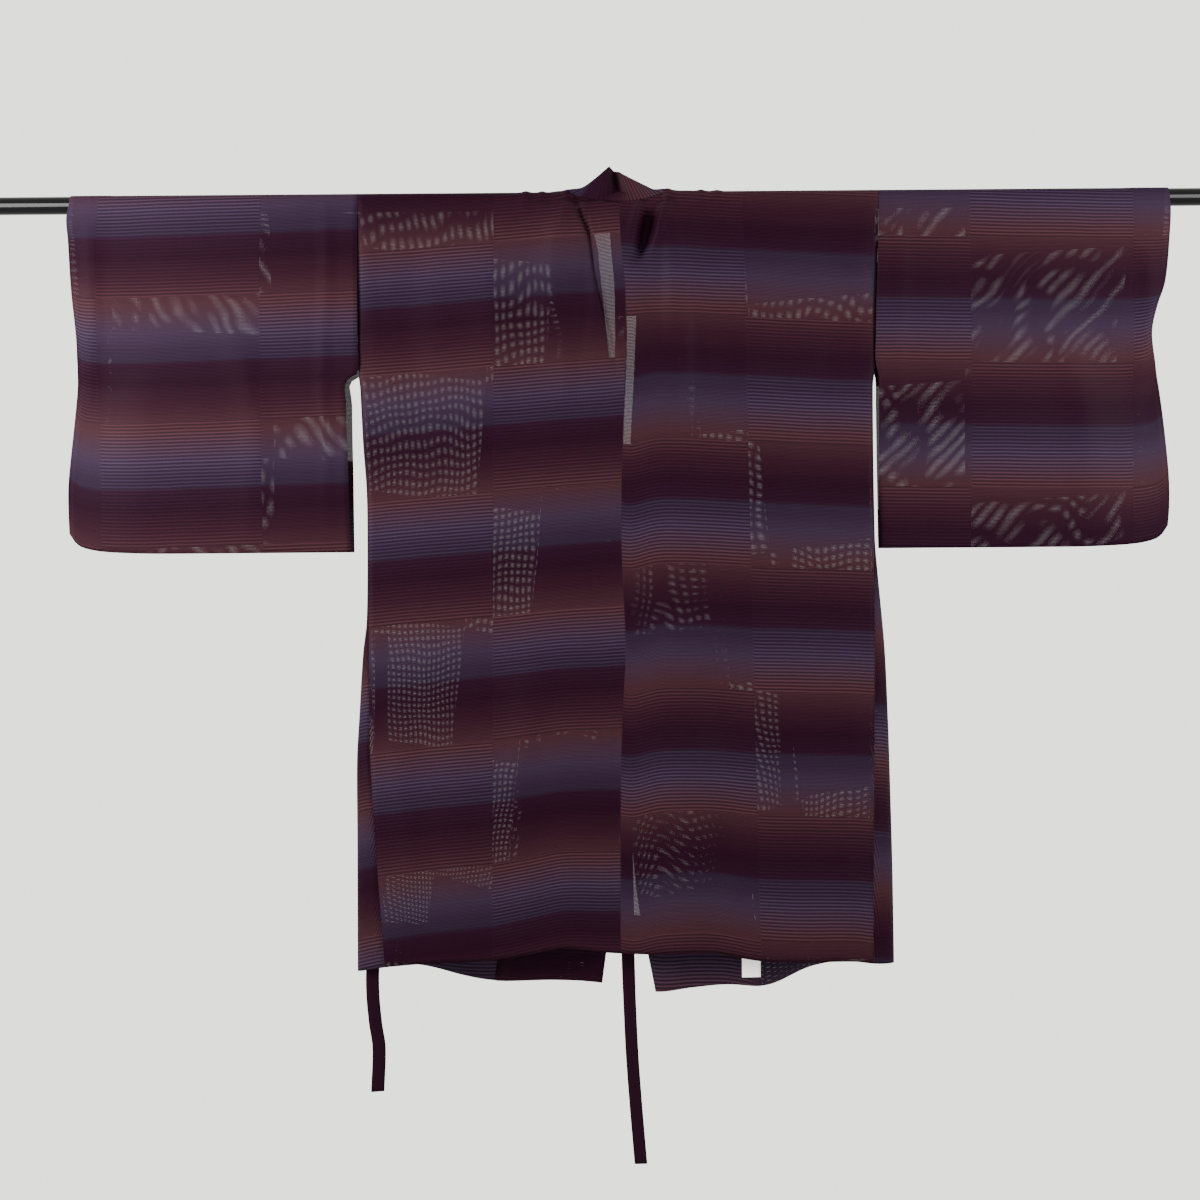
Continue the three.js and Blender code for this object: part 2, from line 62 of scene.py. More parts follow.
ROD_RADIUS = 11.0
ROD_LENGTH = 1700.0
DRAPE = ROD_RADIUS + 0.5  # from the axis of the rod to the middle of the cloth
QUARTER = DRAPE * math.pi / 2  # cloth from the top of the rod to its side
HALF_WALL = 0.6  # half the thickness of the solids' walls
LEVEL_LENGTH = 952.0  # the lowest level of the body, which is bent to each hem
ARMHOLE = 213.0
SLEEVE_DROP = 437.0
COLLAR_WIDTH = 55.0
COLLAR_END = 421.0
OVERLAP_TOP = 80.0  # where the overlap's point begins beside the collar
SEAM = 0.04  # the sheets all but meet at their seams
FOLD_GAP = 1.0  # from a layer to the middle of the allowance folded behind it
DEEPEST = 17.0  # how far a trough may sink behind the plane of the cloth
HEM = 50.0
HEM_TURN = 0.8  # how far above the hem's edge its inner layer begins
HEM_ROUND = 0.6  # how much cloth the turn of the hem takes
FACING = 0.99  # how far the overlap's facing reaches back towards its seam
FACING_SHIFT = 4.4  # how far the facing's weave lies along from the layer in front of it
BLOCK = 155.6  # height of one woven block
BODY_COLUMN = 230.0  # width of one woven block in all but the sleeves
SLEEVE_COLUMN = 202.0
SLEEVE_WIDTH = 358.0
CUFF_HEM = 40.0
CUFF_LIFT = 0.35  # how much farther out the cuff lies where its hem goes over the rod
FAR_LAYER = 4.0  # how much nearer to the body the left sleeve's far layer hangs
TIE_WIDTH = 16.0
TIE_THICKNESS = 2.0
TIE_COLUMNS = 4
COLLAR_THICKNESS = 1.1
COLLAR_COLUMNS = 12
COLLAR_LIFT = 0.4  # how far the collar stands off the drape that it follows
COLLAR_BULGE = 1.1  # how much farther the middle of the band stays from the rod
COLLAR_DIP = 13.0  # how far the standing band sags forwards at the middle of the neck
GUSSET_TOP = ARMHOLE + 4
GUSSET_LEAST = 1.5  # the least reach of the gusset's fold from its seams
GUSSET_ARC = 1.6  # half the length of the fold's arc for each millimetre of its reach

# A body panel has wide columns on its outer part and close ones near the neck.
WIDE_PART = 240.0
CLOSE_PART = 90.0
WIDE_SHARE = 0.727

# The turned allowance of the centre seam widens from the neck to the hem. Where it ends, its
# columns stay, almost without width.
ALLOWANCE_TOP = 13.5
ALLOWANCE_HEM = 18.0
ALLOWANCE_NONE = 0.02

# Rows of the body stand closer where the cloth comes off the rod and round the neck.
ROWS_ONTO_ROD = [14, 9, 5]
ROWS_OFF_ROD = [0, 4, 9, 14]
FREE_LEG = 20.0
NECK_STEP = 1.2
NECK_STEP_FINE = 0.2

LEFT_SIDE = rows_of(
    "below seam fold",
    (0, -325.8, -326),
    (115, -326, -326),
    (206, -326.4, -326.6),
    (236, -322.6, -325.4),
    (300, -320, -322.5),
    (360, -316, -318.5),
    (421, -315.5, -318),
    (521, -316, -320),
    (561, -316, -325),
    (645, -315.5, -331),
    (693, -315, -334),
    (790, -310, -334.5),
    (870, -304.5, -335),
    (952, -298.5, -335.5),
)
RIGHT_SIDE = rows_of(
    "below seam fold",
    (0, 322.3, 322.4),
    (50, 320.8, 321),
    (115, 318.3, 318.5),
    (177, 316.8, 317),
    (206, 316.3, 316.6),
    (236, 312.4, 314.8),
    (421, 313, 316),
    (470, 313, 320),
    (561, 313, 328),
    (645, 312, 331.5),
    (741, 310.5, 334),
    (837, 309, 336),
    (952, 308, 337),
)
CENTRE_SEAM = rows_of(
    "below x",
    (0, 0),
    (55, 2.5),
    (110, 7),
    (185, 7.5),
    (300, 2.5),
    (421, 0),
    (561, 4),
    (645, 0),
    (741, -3),
    (952, -5),
)
LEFT_FRONT = rows_of(
    "below free seam",
    (0, -50, -111),
    (20, -38, -100),
    (55, -28, -91.5),
    (80, -25.5, -87.5),
    (110, -22.4, -87.5),
    (150, -18.5, -90),
    (213, -12, -94),
    (300, -3, -97.5),
    (421, 3, -105),
    (521, 1.5, -117),
    (693, -5, -134),
    (837, -13, -149),
    (952, -29, -164),
)
RIGHT_FRONT = rows_of(
    "below free seam",
    (0, 38, 111),
    (20, 31, 95),
    (55, 25, 82),
    (80, 24, 80.5),
    (110, 22, 83),
    (150, 20, 86),
    (213, 17, 92),
    (300, 12, 101),
    (421, 8.5, 115),
    (521, 7, 127),
    (693, 7, 146),
    (837, 15, 161),
    (952, 38, 173),
)
BACK_HEM = rows_of(
    "x down",
    (-337, 959),
    (-298, 952),
    (-225, 946),
    (-165, 944),
    (-119, 937),
    (-75, 930),
    (-23, 936),
    (30, 938),
    (102, 937),
    (171, 948),
    (285, 949),
    (308, 952),
    (337, 953),
)
FRONT_HEM = rows_of(
    "x down",
    (-337, 958),
    (-298, 954),
    (-258, 960),
    (-211, 971),
    (-165, 976),
    (-94, 976),
    (-29, 979),
    (39, 991),
    (81, 988),
    (129, 983),
    (181, 985),
    (238, 966),
    (308, 953),
    (337, 953),
)

# Soft upright folds: out is how far each stands from the flat drape at the hem.
BACK_FOLDS = rows_of(
    "x width out starts",
    (-205, 70, 8, 380),
    (-78, 55, 5, 120),
    (68, 50, 9, 60),
    (235, 75, 7, 480),
)
FRONT_FOLDS = rows_of(
    "x width out starts",
    (-240, 60, 26, 260),
    (-85, 45, 7, 300),
    (90, 45, 9, 300),
    (245, 60, 28, 260),
)

# Creases, each a soft ridge from one end to the other: x and below give the ends, width its
# half width and out its height away from the rod's plane, which is negative in a trough.
BACK_CREASES = rows_of(
    "x1 below1 x2 below2 width out",
    (44, -4, 18, 80, 7.6, -24.0),
    (-72, 0, -96, 190, 14, 4.0),
    (78, 0, 104, 260, 18, 5.0),
    (52, 40, 62, 330, 15, -5.0),
    (58, -9, 36, 70, 8, 4.0),
    (31, -9, 9, 52, 6, 3.6),
    (-67, -9, -57, 26, 4.5, 3.6),
    (-50, -9, -36, 46, 5, 4.0),
    (-54, 2, -36, 48, 3.0, -9.0),
    (-42, 14, -27, 118, 2.4, -5.5),
    (-30, 94, -3, 225, 2.4, -4.5),
    (-118, -8, -121, 34, 5, 2.4),
    (-95, -8, -99, 26, 4, 1.8),
    (-66, -8, -72, 44, 6, 2.6),
    (47, -8, 50, 60, 5, 2.4),
    (61, -8, 66, 30, 4, 1.8),
    (101, -8, 109, 26, 5, 2.2),
    (120, -8, 131, 34, 6, 2.0),
    (-104, 2, -136, 40, 7, -2.2),
    (134, -6, 160, 22, 7, -2.0),
    (56, 20, 62, 250, 9, 2.2),
    (74, 30, 86, 290, 12, -2.8),
    (34, 12, 38, 210, 8, -2.0),
    (-38, 12, -52, 240, 10, -2.4),
    (-60, 30, -80, 300, 14, 2.2),
    (-160, 60, -178, 420, 26, 3.0),
    (-250, 40, -262, 360, 22, -2.6),
    (170, 50, 186, 460, 28, 3.0),
    (262, 30, 256, 330, 20, -2.4),
    (-312, 20, -306, 240, 9, 1.8),
    (304, 14, 299, 250, 9, 2.0),
    (-120, 560, -131, 980, 22, 3.4),
    (128, 600, 134, 980, 24, -3.2),
    (-270, 620, -280, 990, 20, 3.0),
    (280, 600, 288, 990, 20, 3.4),
)
FRONT_CREASES = rows_of(
    "x1 below1 x2 below2 width out",
    (-140, 4, -156, 330, 16, 3.2),
    (146, 4, 166, 380, 18, 3.0),
    (-212, 60, -222, 420, 20, -3.4),
    (236, 40, 228, 360, 20, -3.0),
    (-128, 520, -140, 1000, 18, 3.6),
    (130, 560, 150, 1000, 16, 3.4),
    (-44, 480, -52, 990, 14, 2.6),
    (60, 500, 78, 1000, 14, 3.0),
)
SLEEVE_CREASES = rows_of(
    "x1 below1 x2 below2 width out",
    (-590, -6, -640, 130, 14, -2.6),
    (-655, 20, -662, 330, 10, 2.2),
    (-365, -6, -370, 420, 6, 2.4),
    (-352, 10, -357, 430, 6, -2.0),
    (-470, 160, -452, 440, 20, 2.4),
    (610, 40, 650, 210, 16, -3.0),
    (652, 60, 648, 300, 11, 2.6),
    (560, 180, 590, 430, 22, 2.6),
    (345, -6, 349, 300, 8, 2.0),
    (440, 90, 420, 430, 26, -2.6),
)

# The neck, from the level of the axis in front, over the rod, to the middle of the back.
# seamLeft and seamRight place the collar seam, and left and right the collar's free edge.
NECK = rows_of(
    "along seamLeft seamRight left right y leftUp rightUp",
    (-18.9, 111, 111, -50, 38, 12.1, 0, 0),
    (-12.5, 106, 104, -55, 42, 7.5, 9.3, 9.3),
    (-6, 97, 93, -59, 44.5, 3.5, 11.5, 11.5),
    (0, 86, 78, -60, 46, 0, 12.2, 12.2),
    (3, 81, 71, -56, 44, -2, 12.6, 12.4),
    (8, 70, 58, -50, 41, -4, 14.5, 13.5),
    (13, 57, 47, -42, 34, -7, 18, 17),
    (16.5, 44, 36, -30, 22, -9, 26.5, 22.5),
    (19, 30, 25, -20, 12, -10, 35, 27.5),
    (20.7, 14, 12, -12.5, 0, -9, 41.5, 34.5),
)
NECK_MIDDLE = {"along": 21.5, "left": -6.5, "y": 1.5, "leftUp": 38}

LEFT_SLEEVE = rows_of(
    "below cuff inner",
    (0, 684, 326),
    (20, 687.5, 326),
    (50, 685, 326),
    (115, 681, 326.4),
    (177, 676, 326.5),
    (213, 676, 327),
    (224, 677, 341.5),
    (253, 679, 341.5),
    (293, 683, 341),
    (340, 688, 340),
    (375, 691, 339.5),
    (411, 691, 339),
    (437, 690, 338.5),
)
RIGHT_SLEEVE = rows_of(
    "below cuff inner",
    (0, 684, 322.5),
    (20, 685, 322.4),
    (50, 683, 321),
    (115, 676, 318.5),
    (147, 666, 317.5),
    (177, 660, 317),
    (202, 662, 316.6),
    (224, 667, 320.5),
    (253, 672, 320.5),
    (293, 677, 320.5),
    (340, 681.5, 320.5),
    (375, 684, 320.5),
    (411, 684, 320.5),
    (437, 682, 320.5),
)
SLEEVE_DEPTH = rows_of(
    "below half sewn",
    (0, 0, 0),
    (115, 3, 5),
    (202, 2, 0),
    (240, 1, -10.2),
    (340, -3.4, -10.3),
    (411, -7.6, -10.4),
    (437, -9.6, -10.4),
)
SLEEVE_ROUND = rows_of(
    "across up",
    (0, 0),
    (0.68, 0),
    (0.79, 1),
    (0.88, 3),
    (0.94, 7),
    (0.975, 13),
    (1, 26),
)

# How far the middle of a tie lies from the middle of the cloth.
TIE_CLEAR = 0.75
TIE_APART = 0.3
ON_CLOTH = HALF_WALL + TIE_CLEAR + TIE_THICKNESS / 2
ON_TIE = ON_CLOTH + TIE_APART + TIE_THICKNESS
TIES = {
    "tie_overlap_left": rows_of(
        "down x off",
        (423, 2, ON_CLOTH),
        (590, 3, ON_CLOTH),
        (632, 3, ON_TIE + TIE_APART),
        (820, 3, ON_TIE),
        (940, 4, ON_TIE),
        (991, 5, ON_TIE),
    ),
    "tie_overlap_right": rows_of(
        "down x off",
        (638, 4, ON_CLOTH),
        (800, 3, ON_CLOTH),
        (940, 3.5, ON_CLOTH),
        (1008, 5.5, ON_CLOTH),
        (1070, 8, ON_CLOTH),
        (1131, 12, ON_CLOTH),
        (1208, 18, ON_CLOTH),
    ),
    "tie_side_left": rows_of(
        "down x off",
        (541, -303, -ON_CLOTH),
        (760, -306, -6),
        (957, -316, -15),
        (990, -316, -15),
        (1026, -313, -15),
        (1056, -309, -15),
        (1111, -311, -15),
    ),
    "tie_front_right": rows_of(
        "down x off",
        (400, 205, ON_CLOTH),
        (600, 206, ON_CLOTH),
        (800, 208, ON_CLOTH),
        (955, 209, ON_CLOTH),
    ),
}
LABEL = {"left": 147.0, "right": 170.5, "top": 905.0, "bottom": 974.0, "depth": 3.6,
         "thickness": 0.4}

# The levels of the inner layer's rows in a hem, from its edge upwards.
HEM_LEVELS = [LEVEL_LENGTH - HEM_TURN - (HEM - HEM_TURN) * i / 6 for i in range(7)]

# Where the pattern of each cloth lies. v is measured along the cloth from the top of the rod,
# positive down the back: blue is one blue band and block one edge of a block. turn is -1 where
# the bands run the other way, and slack is how much longer the weave of the front layer counts.
PATTERN = {
    "body_left": {"blue": 107, "block": 70, "turn": 1},
    "body_right": {"blue": 116, "block": 9.6, "turn": -1},
    "sleeve_left": {"blue": 22, "block": 132, "turn": 1, "slack": 0.05},
    "sleeve_right": {"blue": 22, "block": 68, "turn": -1, "slack": 0.07},
    "overlap_left": {"blue": 60, "block": -64, "turn": 1},
    "overlap_right": {"blue": 100, "block": -88, "turn": -1},
    "gusset_left": {"blue": 30, "block": 0, "turn": 1},
    "gusset_right": {"blue": 60, "block": 40, "turn": -1},
    "collar": {"blue": -15.5, "block": 0, "turn": 1},
}

# In each overlap line is where two columns of blocks meet at OVERLAP_LEVEL, and lean and warp are
# the slope and the scale of the weave in its facing.
OVERLAPS = {
    "overlap_left": {"line": -75, "lean": 0.02, "warp": -1.02},
    "overlap_right": {"line": 100, "lean": 0.082, "warp": 1.004},
}
OVERLAP_LEVEL = 400.0
OVERLAP_LEAN = 0.11  # how fast the columns of blocks lean outwards on the way down
OVERLAP_TILT = 0.09  # the slope of the weft
SEAM_LEAN = 0.02  # the slope of the weave in the allowance beside the collar

# The slope of the weft in each length of the body, at the coat's front and at its back.
TILTS = {
    "body_left": {"front": 0.13, "back": 0.072},
    "body_right": {"front": 0.105, "back": 0.05},
}

# The warp line between the two columns of blocks in each. On the body's front it leans and
# curves outwards.
LINES = {"body_left": -156, "body_right": 154, "sleeve_left": -448, "sleeve_right": 436}
LINE_LEAN = 0.045
LINE_CURVE = 0.000068
BACK_LENGTH = 971.0

# Blocks are counted from these, so that the counts are never negative.
FIRST_COLUMN = 5
FIRST_ROW = 20

# The collar is ribbed all over: a place inside one block where the two counts add up to none.
PLAIN = {"collar": (0.5, 0.5)}


def lerp(a, b, t):
    return a + (b - a) * t


def clamp(value, low, high):
    return max(low, min(high, value))


def smoothstep(value, low, high):
    t = clamp((value - low) / (high - low), 0.0, 1.0)
    return t * t * (3 - 2 * t)


def smooth(table, key, column, at):
    """A smooth value from a table, by one named column of it at a place along another."""
    last = len(table) - 1
    k = 0
    while k < last - 1 and at > table[k + 1][key]:
        k += 1

    def slope(i):
        a = table[max(i - 1, 0)]
        b = table[min(i + 1, last)]
        return (b[column] - a[column]) / (b[key] - a[key])

    start = table[k]
    end = table[k + 1]
    span = end[key] - start[key]
    t = clamp((at - start[key]) / span, 0.0, 1.0)
    rise = t * t * (3 - 2 * t)
    ease = t * (1 - t) * span
    value = start[column] + (end[column] - start[column]) * rise
    return value + ease * ((1 - t) * slope(k) - t * slope(k + 1))


def steps(start, end, step):
    """Evenly spaced values from start to end, both included."""
    count = max(1, round(abs(end - start) / step))
    return [lerp(start, end, i / count) for i in range(count + 1)]


def neck_at(along):
    row = {"along": along}
    for column in ("seamLeft", "seamRight", "left", "right", "y", "leftUp", "rightUp"):
        row[column] = smooth(NECK, "along", column, along)
    return row


def fold_out(folds, x, below):
    out = 0.0
    for fold in folds:
        near = math.exp(-(((x - fold["x"]) / fold["width"]) ** 2))
        out += fold["out"] * near * smoothstep(below, fold["starts"], LEVEL_LENGTH)
    return out


def crease_out(creases, x, below):
    """How far the creases push the cloth out. Each fades towards both of its ends."""
    out = 0.0
    for crease in creases:
        run = crease["below2"] - crease["below1"]
        t = (below - crease["below1"]) / run
        if t < -0.1 or t > 1.1:
            continue
        middle = lerp(crease["x1"], crease["x2"], t)
        middle += crease["width"] * 0.35 * math.sin(below / 41.0 + crease["x1"])
        across = (x - middle) / crease["width"]
        if abs(across) > 3:
            continue
        fade = smoothstep(t, -0.1, 0.15) * (1 - smoothstep(t, 0.55, 1.1))
        out += crease["out"] * math.exp(-across * across) * fade
    return out


def down_to(hem, x, below):
    share = (below / LEVEL_LENGTH) ** 3
    return below + (smooth(hem, "x", "down", x) - LEVEL_LENGTH) * share


def leg_out(folds, creases, x, below):
    """How far a leg of the drape stands out. Clear of the rod it may also sink inwards."""
    out = fold_out(folds, x, below) + crease_out(creases, x, below)
    return max(out, -DEEPEST * smoothstep(below, 9, 24))


def back_point(x, below):
    out = leg_out(BACK_FOLDS, BACK_CREASES, x, below)
    return Vector((x, -DRAPE - out, -down_to(BACK_HEM, x, below)))


def front_point(x, below):
    out = leg_out(FRONT_FOLDS, FRONT_CREASES, x, below)
    return Vector((x, DRAPE + out, -down_to(FRONT_HEM, x, below)))


def over_point(x, along):
    """A point on the turn over the rod, where creases on the back begin."""
    angle = along / DRAPE
    lift = max(crease_out(BACK_CREASES, x, (along - QUARTER) * 0.35), 0.0)
    reach = DRAPE + lift * smoothstep(along, -QUARTER, QUARTER * 0.2)
    return Vector((x, -reach * math.sin(angle), reach * math.cos(angle)))


def drape_point(x, along):
    if along > QUARTER:
        return back_point(x, along - QUARTER)
    if along < -QUARTER:
        return front_point(x, -along - QUARTER)
    return over_point(x, along)


# The pattern's place on each cloth.

def column_line(name, along):
    """The warp line between the two columns of blocks on one length of the body."""
    mirror = -1 if name == "body_left" else 1
    if along <= -QUARTER:
        below = -along - QUARTER
        return LINES[name] + mirror * (LINE_LEAN * below + LINE_CURVE * below * below)
    if mirror < 0:
        return LINES[name] - 9 * (along / BACK_LENGTH)
    return LINES[name] + 15 * (max(along, 0) / BACK_LENGTH) ** 1.2


def weave_body(name, x, along):
    """Place on the cloth: across and along it, with the weft as it hangs."""
    across = x - column_line(name, along)
    tilt = lerp(TILTS[name]["front"], TILTS[name]["back"], smoothstep(along, -300, 60))
    if name == "body_left":
        return across, along + tilt * (x + 160)
    tilt *= 1 - 0.7 * smoothstep(along, 250, 900)
    # beside the centre seam the wefts are drawn down
    dip = 10 * math.exp(-(((x - 8) / 26.0) ** 2)) * smoothstep(along, 60, 260)
    return across, along - tilt * (x - 160) - dip


def weave_sleeve(name, x, along):
    """Place on the cloth of a sleeve, across and along it."""
    line = LINES[name]
    in_front = min(along, 0)
    if name == "sleeve_left":
        tilt = 0.03 if along > 0 else 0.042
        start = lerp(line + 8, line, smoothstep(along, -60, 60))
        return x - start + 0.012 * in_front, along + tilt * (x - line)
    tilt = lerp(0.06, 0.02, smoothstep(along, -120, 120))
    return x - line - 0.012 * in_front, along - tilt * (x - line)


def block_place(name, across, along):
    """Where a point lies among the blocks: whole numbers are their edges."""
    if name in PLAIN:
        return PLAIN[name]
    if name.startswith("sleeve"):
        outer = -1 if name == "sleeve_left" else 1
        column = FIRST_COLUMN + outer * across / SLEEVE_COLUMN
    else:
        column = FIRST_COLUMN + across / BODY_COLUMN
    return column, FIRST_ROW + (along - PATTERN[name]["block"]) / BLOCK


# The meshes, in the order of their making.

def select_only(piece):
    bpy.ops.object.select_all(action="DESELECT")
    bpy.context.view_layer.objects.active = piece
    piece.select_set(True)


def apply_all(piece):
    select_only(piece)
    for modifier in list(piece.modifiers):
        bpy.ops.object.modifier_apply(modifier=modifier.name)


def sheet_mesh(name, rows, weave, blocks, thickness, material):
    """A thin sheet through rows of points in millimetres, with its place on the cloth as UVs."""
    height = len(rows)
    width = len(rows[0])
    bpy.ops.object.select_all(action="DESELECT")
    bpy.ops.mesh.primitive_grid_add(x_subdivisions=width - 1, y_subdivisions=height - 1, size=1)
    piece = bpy.context.object
    piece.name = name
    mesh = piece.data
    mesh.name = name
    places = []
    for points in rows:
        for point in points:
            places.extend((point.x * MM, point.y * MM, point.z * MM))
    mesh.vertices.foreach_set("co", places)
    corners = [0] * len(mesh.loops)
    mesh.loops.foreach_get("vertex_index", corners)
    while mesh.uv_layers:
        mesh.uv_layers.remove(mesh.uv_layers[0])
    for label, table in (("weave", weave), ("blocks", blocks)):
        layer = mesh.uv_layers.new(name=label)
        values = []
        for corner in corners:
            values.extend(table[corner])
        layer.uv.foreach_set("vector", values)
    mesh.update()
    solid = piece.modifiers.new("Thickness", "SOLIDIFY")
    solid.thickness = thickness * MM
    solid.offset = 0.0
    apply_all(piece)
    bpy.ops.object.shade_smooth()
    piece.data.materials.clear()
    piece.data.materials.append(material)
    return piece


def weave_tables(name, places):
    """UV tables for a list of (across, along) places in millimetres of cloth."""
    pattern = PATTERN[name]
    weave = []
    blocks = []
    for across, along in places:
        eased = along + pattern.get("slack", 0.0) * min(along, 0.0)
        turned = pattern["turn"] * (eased - pattern["blue"])
        weave.append((across * MM, turned * MM))
        blocks.append(block_place(name, across, along))
    return weave, blocks


def turn_round(rows, tables):
    """Turns each row round, with its UVs, so that the sheet faces the other way."""
    width = len(rows[0])
    flipped = [list(reversed(points)) for points in rows]
    out = []
    for table in tables:
        new = []
        for start in range(0, len(table), width):
            new.extend(reversed(table[start:start + width]))
        out.append(new)
    return flipped, out


def gauze_sheet(name, rows, places, turned, thickness, material):
    """The sheet of one gauze piece, turned round if its rows run the wrong way for its outside."""
    tables = weave_tables(name, places)
    if turned:
        rows, tables = turn_round(rows, tables)
    return sheet_mesh(name, rows, tables[0], tables[1], thickness, material)


def finish_piece(piece, node):
    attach(piece, "root")
    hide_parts(node)


def finish_cloth(piece, name):
    piece.name = name + "_cloth"
    finish_piece(piece, name)


def body_panel(name, side, front, mirror, settings, material):
    """One length of cloth from the back hem over the rod to the front hem."""
    rows = []
    places = []
    wide = round(WIDE_PART / settings.across_step)
    close = round(CLOSE_PART / settings.close_step)
    shares = [j / wide * WIDE_SHARE for j in range(wide)]
    shares += [lerp(WIDE_SHARE, 1.0, j / close) for j in range(close + 1)]
    layer, fold = (1, 2) if mirror > 0 else (2, 3)  # the left allowance lies inside the right's

    def add(inner, below, along, place, folded):
        outer = smooth(side, "below", "seam", below)
        points = []
        for share in shares:
            x = lerp(outer, inner, share)
            points.append(place(x))
            places.append(weave_body(name, x, along))
        # the allowance of the centre seam is turned back towards the left
        across0, along0 = weave_body(name, inner, along)
        reach = lerp(ALLOWANCE_TOP, ALLOWANCE_HEM, below / LEVEL_LENGTH) * folded
        for j in range(1, fold + 1):
            t = j / fold
            point = place(inner - (reach if folded else ALLOWANCE_NONE) * t)
            point.y += FOLD_GAP * layer * min(1.0, folded * 4)
            points.append(point)
            places.append((across0 + reach * t, along0))
        rows.append(points)

    def hem_row(below, back):
        """One row of the hem, which is folded up inside."""
        table, point = (CENTRE_SEAM, back_point) if back else (front, front_point)
        seam = smooth(table, "below", "x" if back else "seam", below) + mirror * SEAM / 2
        along = QUARTER + 2 * LEVEL_LENGTH - below + HEM_ROUND
        shift = Vector((0, FOLD_GAP * (1 if back else -1), 0))
        add(seam, below, along if back else -along, lambda x: point(x, below) + shift,
            1 if back else 0)

    for below in reversed(HEM_LEVELS):
        hem_row(below, True)
    for below in steps(LEVEL_LENGTH, FREE_LEG, settings.along_step) + ROWS_ONTO_ROD:
        seam = smooth(CENTRE_SEAM, "below", "x", below) + mirror * SEAM / 2
        folded = smoothstep(below, 6, 30)
        add(seam, below, QUARTER + below, lambda x, b=below: back_point(x, b), folded)
    neck_seam = "seamLeft" if mirror < 0 else "seamRight"
    last = NECK[-1]
    for along in steps(NECK_MIDDLE["along"], last["along"], NECK_STEP_FINE)[:-1]:
        share = (NECK_MIDDLE["along"] - along) / (NECK_MIDDLE["along"] - last["along"])
        inner = mirror * (last[neck_seam] * math.sqrt(share) + SEAM / 2)
        add(inner, 0, along, lambda x, a=along: drape_point(x, a), 0)
    for along in steps(last["along"], -QUARTER + 1.5, NECK_STEP):
        inner = mirror * (neck_at(along)[neck_seam] + SEAM / 2)
        add(inner, 0, along, lambda x, a=along: drape_point(x, a), 0)
    for below in ROWS_OFF_ROD + steps(FREE_LEG, LEVEL_LENGTH, settings.along_step):
        seam = smooth(front, "below", "seam", below) + mirror * SEAM / 2
        add(seam, below, -QUARTER - below, lambda x, b=below: front_point(x, b), 0)
    for below in HEM_LEVELS:
        hem_row(below, False)
    return gauze_sheet(name, rows, places, mirror > 0, settings.cloth, material)


def gusset(name, side, mirror, settings, material):
    """The long wedge, folded outwards between the back and front panels."""
    rows = []
    places = []
    bend = [(math.sin(a), -math.cos(a)) for a in steps(0, math.pi, math.pi / 12)]
    levels = [(below, 1) for below in reversed(HEM_LEVELS)]
    levels += [(below, 0) for below in steps(LEVEL_LENGTH, GUSSET_TOP, settings.along_step)]
    for below, hemmed in levels:
        sewn = smooth(side, "below", "seam", below) + mirror * SEAM
        fold = smooth(side, "below", "fold", below) - mirror * HALF_WALL
        back = back_point(sewn, below)
        front = front_point(sewn, below)
        if abs(fold - sewn) < GUSSET_LEAST:
            fold = sewn + mirror * GUSSET_LEAST
        points = []
        wide = math.hypot(fold - sewn, (front.y - back.y) / 2) * GUSSET_ARC
        for out, depth in bend:
            x = lerp(sewn, fold, out)
            mix = (depth + 1) / 2
            lower = down_to(BACK_HEM, x, below) - down_to(BACK_HEM, sewn, below)
            y = lerp(back.y, front.y, mix) - hemmed * FOLD_GAP * depth
            x -= hemmed * FOLD_GAP * mirror * out
            points.append(Vector((x, y, lerp(back.z, front.z, mix) - lower)))
            down = 2 * LEVEL_LENGTH - below if hemmed else below
            places.append((wide * depth, down + QUARTER + 5 * abs(depth)))
        rows.append(points)
    return gauze_sheet(name, rows, places, mirror > 0, settings.cloth, material)


def collar_edge(front, mirror, below):
    """Where the collar is sewn on: to the panel at the top, and lower down to the overlap."""
    panel = smooth(front, "below", "seam", below) - mirror * SEAM / 2
    free = smooth(front, "below", "free", below)
    return lerp(panel, free + mirror * COLLAR_WIDTH, smoothstep(below, OVERLAP_TOP, 112))


